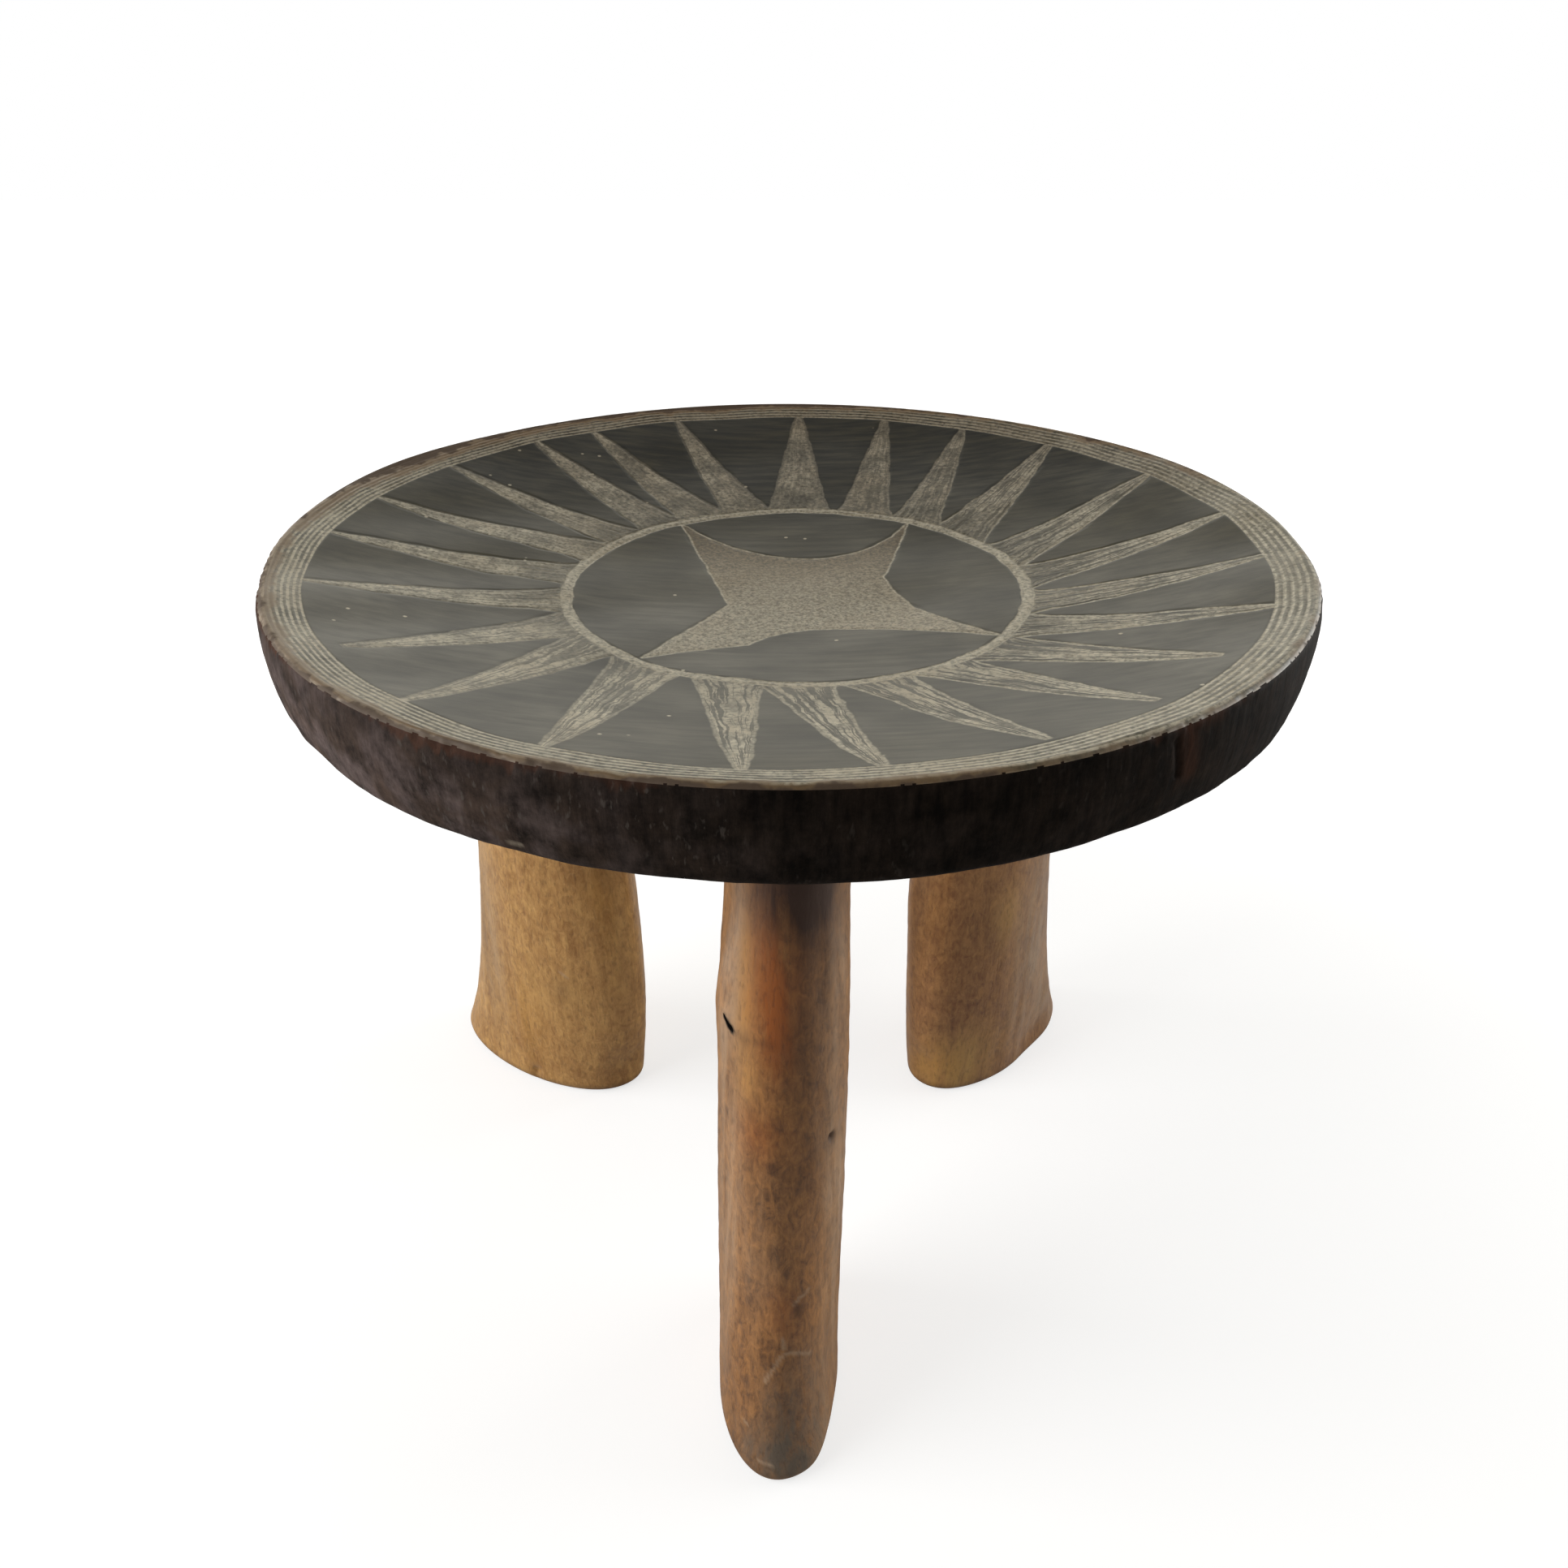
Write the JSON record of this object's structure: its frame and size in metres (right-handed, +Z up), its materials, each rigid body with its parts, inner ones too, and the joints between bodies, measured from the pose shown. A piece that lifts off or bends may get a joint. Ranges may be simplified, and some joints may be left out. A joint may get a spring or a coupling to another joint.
{
  "type": "three-legged stool",
  "caption": "Low hand-carved wooden stool: a round dished seat with a heavy dark rim on oval legs whose feet flare outwards, for sitting on.",
  "frame": {"origin": "on the floor, under the middle of the round seat", "axes": "+Z up, -Y towards the front leg, +X to the right as seen from the front"},
  "size_m": [0.3514, 0.3514, 0.3023],
  "materials": {
    "blackened_wood": "stained black, rubbed and engraved",
    "brown_wood": "hand-worn, waxy",
    "golden_wood": "hand-worn, satin",
    "tan_wood": "hand-worn, satin",
    "wedge_wood": "split, bare"
  },
  "bodies": {
    "root": {"seat": "blackened_wood", "front_leg": "brown_wood", "left_leg": "golden_wood", "right_leg": "tan_wood", "front_wedge": "wedge_wood", "left_wedge": "wedge_wood", "right_wedge": "wedge_wood"}
  },
  "joints": []
}
